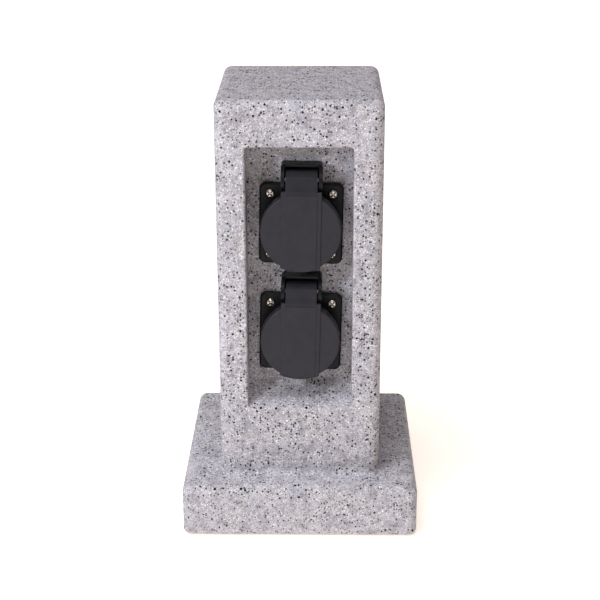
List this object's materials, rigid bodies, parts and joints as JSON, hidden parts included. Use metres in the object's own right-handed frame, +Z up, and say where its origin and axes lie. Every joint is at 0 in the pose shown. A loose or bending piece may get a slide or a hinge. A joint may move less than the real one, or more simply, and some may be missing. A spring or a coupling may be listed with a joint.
{
  "type": "outdoor socket pillar",
  "caption": "Granite-look garden socket pillar: a rounded column on a square base, with two earthed sockets under sprung hinged lids in a front recess.",
  "frame": {"origin": "middle of the footprint, on the ground under the rubber feet", "axes": "+Z up, the sockets face -Y, +X to the right seen from the front"},
  "size_m": [0.1474, 0.1474, 0.275],
  "materials": {
    "granite": "matt speckled cast stone",
    "black_plastic": "satin",
    "lid_plastic": "satin",
    "insert_plastic": "matt",
    "rubber": "matt",
    "nickel_steel": "nickel plated",
    "steel": "plain",
    "brass": "plain",
    "plate_plastic": "matt",
    "gland_plastic": "matt",
    "terminal_plastic": "matt",
    "brown_wire": "gloss",
    "blue_wire": "gloss",
    "earth_wire": "gloss"
  },
  "bodies": {
    "pillar": {"column_shell": "granite", "base_plinth": "granite", "base_plate": "plate_plastic", "base_plate_screws": "nickel_steel", "plate_screw_inserts": "brass", "rubber_feet": "rubber", "column_tie_screws": "steel", "column_tie_washers": "steel", "column_tie_inserts": "brass", "terminal_block": "terminal_plastic", "terminal_sleeves": "brass", "terminal_screws": "steel", "terminal_fixing_screws": "nickel_steel", "cable_gland_body": "gland_plastic", "cable_gland_nut": "gland_plastic", "cable_gland_seal": "rubber", "cable_gland_washer": "rubber", "cable_gland_locknut": "gland_plastic", "live_feed_wire": "brown_wire", "live_link_wire": "brown_wire", "neutral_feed_wire": "blue_wire", "neutral_link_wire": "blue_wire", "earth_feed_wire": "earth_wire", "earth_link_wire": "earth_wire", "upper_gasket": "rubber", "upper_housing": "black_plastic", "upper_flange_screws": "nickel_steel", "upper_flange_screw_inserts": "brass", "upper_hinge_pin": "steel", "upper_lid_spring": "steel", "upper_insert": "insert_plastic", "upper_live_contact": "brass", "upper_neutral_contact": "brass", "upper_earth_clip": "brass", "upper_clamp_screws": "nickel_steel", "upper_rear_cap": "black_plastic", "lower_gasket": "rubber", "lower_housing": "black_plastic", "lower_flange_screws": "nickel_steel", "lower_flange_screw_inserts": "brass", "lower_hinge_pin": "steel", "lower_lid_spring": "steel", "lower_insert": "insert_plastic", "lower_live_contact": "brass", "lower_neutral_contact": "brass", "lower_earth_clip": "brass", "lower_clamp_screws": "nickel_steel", "lower_rear_cap": "black_plastic"},
    "upper_lid_body": {"upper_lid": "lid_plastic", "upper_lid_seal": "rubber"},
    "lower_lid_body": {"lower_lid": "lid_plastic", "lower_lid_seal": "rubber"}
  },
  "joints": [
    {"name": "upper_lid_hinge", "type": "hinge", "parent": "pillar", "child": "upper_lid_body", "pos_m": [0.00131, -0.0435, 0.22475], "axis": [-0.9998, 0, 0.0175], "range_deg": [0, 105], "stiffness_Nm_per_rad": 0.03, "springref_deg": -20.05, "deforming": ["upper_lid_spring"]},
    {"name": "lower_lid_hinge", "type": "hinge", "parent": "pillar", "child": "lower_lid_body", "pos_m": [0.00102, -0.0435, 0.15424], "axis": [-0.9997, 0, 0.0244], "range_deg": [0, 105], "stiffness_Nm_per_rad": 0.03, "springref_deg": -20.05, "deforming": ["lower_lid_spring"]}
  ]
}
